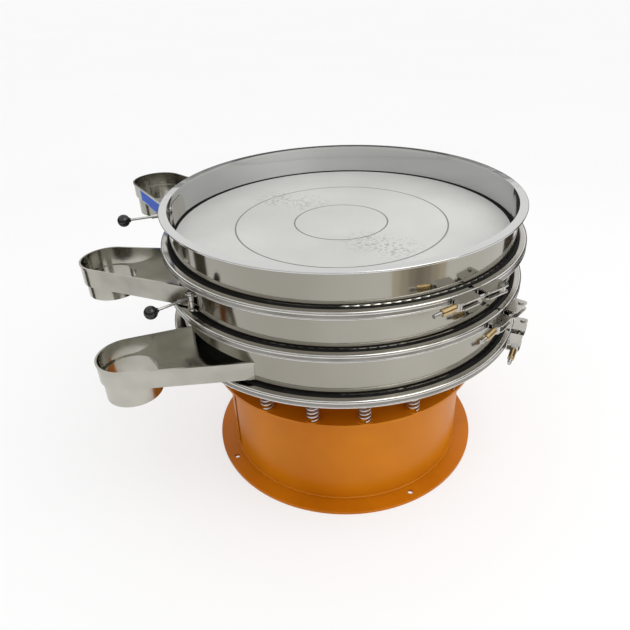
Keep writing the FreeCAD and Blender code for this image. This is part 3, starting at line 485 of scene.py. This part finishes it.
def rubber_bead(level):
    """Bead round one joint, as a bevelled square section spun once round."""
    low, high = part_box(level + "_band_bead")
    width = BEAD_OUTER_R - BEAD_INNER_R
    foot = low.z + BEAD_FOOT
    height = high.z + BEAD_PROUD - foot
    bpy.ops.object.select_all(action="DESELECT")
    middle = ((BEAD_INNER_R + BEAD_OUTER_R) / 2, 0, foot + height / 2)
    bpy.ops.mesh.primitive_plane_add(size=1, location=middle, rotation=(math.radians(90), 0, 0))
    bead = bpy.context.object
    bead.name = level + "_rubber_bead"
    bead.scale = (width, height, 1)
    bpy.ops.object.transform_apply(location=True, rotation=True, scale=True)
    bpy.ops.object.mode_set(mode="EDIT")
    bpy.ops.mesh.select_all(action="SELECT")
    bpy.ops.mesh.bevel(offset=BEAD_BEVEL, segments=3, affect="VERTICES")
    bpy.ops.mesh.delete(type="ONLY_FACE")
    bpy.ops.mesh.select_all(action="SELECT")
    bpy.ops.mesh.spin(steps=BEAD_STEPS, angle=2 * math.pi, center=(0, 0, 0), axis=(0, 0, 1))
    bpy.ops.object.mode_set(mode="OBJECT")
    smooth_closed(bead, 50)
    bead.data.materials.append(rubber)
    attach(bead, "sieve")
    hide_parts(level + "_band_bead")


for level in ("top", "middle", "bottom"):
    rubber_bead(level)

# ---------------------------------------------------------------- latches
# A swing bolt turns on a pin in the eye lug, lies in the slotted lug and is drawn tight by a
# long turned brass nut. The bolt has a rolled thread from the nut to its end.
brass = finish_of("turned_brass", (0.50, 0.36, 0.17), (0.62, 0.47, 0.25), 1.0, 0.16, 0.28, 30.0, 300.0, 0.15)
LATCH_AZIMUTHS = {"top": 306, "middle": 321, "bottom": 336}
BOLT_CIRCLE_R = 0.548
THREAD_PITCH = 0.00175
THREAD_ROOT_R = 0.0050
THREAD_WIRE_R = 0.0005
THREAD_FROM = -0.130
THREAD_TO = -0.1475
for level, azimuth in LATCH_AZIMUTHS.items():
    dress(turned, level + "_latch_pin", level + "_swing_bolt")
    dress(brass, level + "_barrel_nut")
    nut_low, nut_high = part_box(level + "_barrel_nut")
    rise = THREAD_FROM - THREAD_TO
    thread = wound_wire(level + "_bolt_thread", THREAD_WIRE_R, THREAD_ROOT_R, rise, rise / THREAD_PITCH)
    place = Vector((BOLT_CIRCLE_R, THREAD_FROM, (nut_low.z + nut_high.z) / 2))
    along = Matrix.Rotation(math.radians(90), 4, "X")
    round_axis = Matrix.Rotation(math.radians(azimuth), 4, "Z")
    thread.data.transform(round_axis @ Matrix.Translation(place) @ along)
    thread.data.materials.append(turned)
    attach(thread, level + "_bolt")

# ----------------------------------------------------------------- spouts
# The spouts are folded and welded stainless troughs with a hemmed edge and a short pipe
# underneath. They have the frames' mirror finish, a little duller from the folding.
sheet = finish_of("folded_sheet", (0.33, 0.32, 0.275), (0.50, 0.49, 0.44), 1.0, 0.12, 0.22, 7.0, 30.0, 0.6)
for level in ("top", "middle", "bottom"):
    dress(sheet, level + "_spout_trough", level + "_spout_pipe")

# A strip of the sheet's blue protective film is still stuck to the near side of the top
# trough, from the fold of the hem down. It is thin plastic with slack, uneven edges.
FILM_WALL_START = Vector((-0.49975, -0.01571, 0))
FILM_WALL_END = Vector((-0.68979, 0.25155, 0))
FILM_OUTWARD = Vector((-0.81498, -0.57949, 0))
FILM_FROM = 0.16
FILM_TO = 0.84
FILM_LOW = 0.766
FILM_HIGH = 0.8025
FILM_OUT = 0.0007
FILM_SAG = 0.0025
film_blue = finish_of("film_blue", (0.002, 0.06, 0.42), (0.006, 0.10, 0.58), 0.0, 0.4, 0.5, 40.0, 70.0, 0.6)
film_blue.node_tree.nodes["Principled BSDF"].inputs["Specular IOR Level"].default_value = 0.2
bpy.ops.object.select_all(action="DESELECT")
bpy.ops.mesh.primitive_grid_add(x_subdivisions=24, y_subdivisions=8, size=1)
film = bpy.context.object
film.name = "protective_film"
for vertex in film.data.vertices:
    along = vertex.co.x + 0.5
    height = vertex.co.y + 0.5
    wall = FILM_WALL_START.lerp(FILM_WALL_END, FILM_FROM + (FILM_TO - FILM_FROM) * along)
    slack = FILM_SAG * math.sin(9 * along) * (1 - height)
    level_z = FILM_LOW + (FILM_HIGH - FILM_LOW) * height + slack
    wrinkle = FILM_OUT * (1 + 0.4 * math.sin(40 * along + 7 * height))
    vertex.co = wall + FILM_OUTWARD * wrinkle + Vector((0, 0, level_z))
film_wall = film.modifiers.new("thickness", "SOLIDIFY")
film_wall.thickness = 0.0003
bpy.ops.object.modifier_apply(modifier=film_wall.name)
smooth_closed(film, 50)
film.data.materials.append(film_blue)
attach(film, "sieve")

# ------------------------------------------------------------------ gates
# The two upper spouts have a gate: a curved stainless leaf inside the frame, hung on a pin,
# and moved by a rod with a gloss black ball of moulded plastic.
ball = finish_of("moulded_ball", (0.006, 0.006, 0.006), (0.012, 0.012, 0.012), 0.0, 0.1, 0.16, 20.0, 120.0, 0.05)
for level in ("top", "middle"):
    dress(strip, level + "_gate_leaf", level + "_gate_bracket")
    dress(turned, level + "_gate_pin", level + "_gate_lever")
    dress(ball, level + "_lever_knob")

# ------------------------------------------------------------------ studio
# Pale floor, white surroundings, one soft key light and dark cards that only the polished
# steel mirrors.
FLOOR_SIZE = 120
bpy.ops.object.select_all(action="DESELECT")
bpy.ops.mesh.primitive_plane_add(size=FLOOR_SIZE)
floor = bpy.context.object
floor.name = "floor"
floor_white = finish_of("floor_white", (0.86, 0.86, 0.86), (0.88, 0.88, 0.88), 0.0, 0.8, 0.9, 0.5, 3.0, 0.0)
FLOOR_GLOW = 0.6


def pale_to_camera(material, share):
    """Mixes plain white into what the camera sees, so a soft shadow stays on white."""
    tree = material.node_tree
    shader = tree.nodes["Principled BSDF"]
    output = tree.nodes["Material Output"]
    rays = tree.nodes.new("ShaderNodeLightPath")
    part = tree.nodes.new("ShaderNodeMath")
    part.operation = "MULTIPLY"
    part.inputs[1].default_value = share
    white = tree.nodes.new("ShaderNodeEmission")
    white.inputs["Color"].default_value = (1, 1, 1, 1)
    white.inputs["Strength"].default_value = 1
    mix = tree.nodes.new("ShaderNodeMixShader")
    link(tree, rays, "Is Camera Ray", part, 0)
    tree.links.new(part.outputs[0], mix.inputs[0])
    tree.links.new(shader.outputs[0], mix.inputs[1])
    tree.links.new(white.outputs[0], mix.inputs[2])
    tree.links.new(mix.outputs[0], output.inputs["Surface"])


pale_to_camera(floor_white, FLOOR_GLOW)
floor.data.materials.append(floor_white)

world = bpy.data.worlds.new("surroundings")
bpy.context.scene.world = world
world.use_nodes = True
world.node_tree.nodes["Background"].inputs["Color"].default_value = (1, 1, 1, 1)
world.node_tree.nodes["Background"].inputs["Strength"].default_value = 1


def dark_card(name, azimuth, distance, width, height, shade):
    """Upright card round the machine, seen only in mirror surfaces."""
    bpy.ops.object.select_all(action="DESELECT")
    bpy.ops.mesh.primitive_plane_add(size=1)
    card = bpy.context.object
    card.name = name
    card.scale = (width, height, 1)
    stand = Matrix.Translation(Vector((distance, 0, height / 2)))
    upright = Matrix.Rotation(math.radians(90), 4, "Y") @ Matrix.Rotation(math.radians(90), 4, "Z")
    card.data.transform(Matrix.Rotation(math.radians(azimuth), 4, "Z") @ stand @ upright
                        @ Matrix.Diagonal((width, height, 1, 1)))
    card.scale = (1, 1, 1)
    material = bpy.data.materials.new(name)
    material.use_nodes = True
    shader = material.node_tree.nodes["Principled BSDF"]
    shader.inputs["Base Color"].default_value = (0, 0, 0, 1)
    shader.inputs["Roughness"].default_value = 1
    shader.inputs["Emission Color"].default_value = (*shade, 1)
    shader.inputs["Emission Strength"].default_value = 1
    card.data.materials.append(material)
    card.visible_camera = False
    card.visible_diffuse = False
    card.visible_shadow = False


HORIZON_CARDS = 12
HORIZON_R = 3.6
HORIZON_W = 1.95
for i in range(HORIZON_CARDS):
    shade = 0.10 if i % 2 else 0.24
    dark_card("horizon_" + str(i + 1), 360 * i / HORIZON_CARDS, HORIZON_R, HORIZON_W, 1.9, (shade, shade, shade))
dark_card("card_left", -176, 1.5, 0.30, 1.3, (0.06, 0.05, 0.03))
dark_card("card_right", 24, 1.5, 0.45, 1.3, (0.05, 0.04, 0.025))
FRONT_SHADES = (0.80, 0.62, 0.45, 0.36, 0.45, 0.62, 0.80)
for i, shade in enumerate(FRONT_SHADES):
    azimuth = -62 + 4.4 * i
    dark_card("card_front_" + str(i + 1), azimuth, 1.7, 0.132, 1.1, (shade, 0.9 * shade, 0.75 * shade))

key = bpy.data.lights.new("key", "AREA")
key.size = 2.2
key.energy = 40
key_lamp = bpy.data.objects.new("key", key)
bpy.context.collection.objects.link(key_lamp)
key_lamp.location = (1.4, -1.2, 3.2)
aim = Vector(key_lamp.location) - Vector((0, 0, 0.5))
key_lamp.rotation_euler = aim.to_track_quat("Z", "Y").to_euler()

# The camera stands in front, about 1.9 m from the machine's middle, and looks down on it.
CAMERA_AWAY = 1.8757
CAMERA_UP = math.radians(28.863)
AIM_HEIGHT = 0.5086
PAN = 0.0467
TILT = -0.0333
ROLL = 0.0170
lens = bpy.data.cameras.new("camera")
lens.lens = 33.44
lens.sensor_width = 36
camera = bpy.data.objects.new("camera", lens)
bpy.context.collection.objects.link(camera)
bpy.context.scene.camera = camera
forward = Vector((0, math.cos(CAMERA_UP), -math.sin(CAMERA_UP)))
place = Vector((0, 0, AIM_HEIGHT)) - CAMERA_AWAY * forward
right = Vector((1, 0, 0))
up = right.cross(forward)
turn = Matrix.Rotation(PAN, 3, up)
forward = turn @ forward
right = turn @ right
turn = Matrix.Rotation(TILT, 3, right)
forward = turn @ forward
up = turn @ up
turn = Matrix.Rotation(ROLL, 3, forward)
right = turn @ right
up = turn @ up
camera.matrix_world = Matrix((
    (right.x, up.x, -forward.x, place.x),
    (right.y, up.y, -forward.y, place.y),
    (right.z, up.z, -forward.z, place.z),
    (0, 0, 0, 1)))
bpy.context.scene.view_settings.view_transform = "Standard"
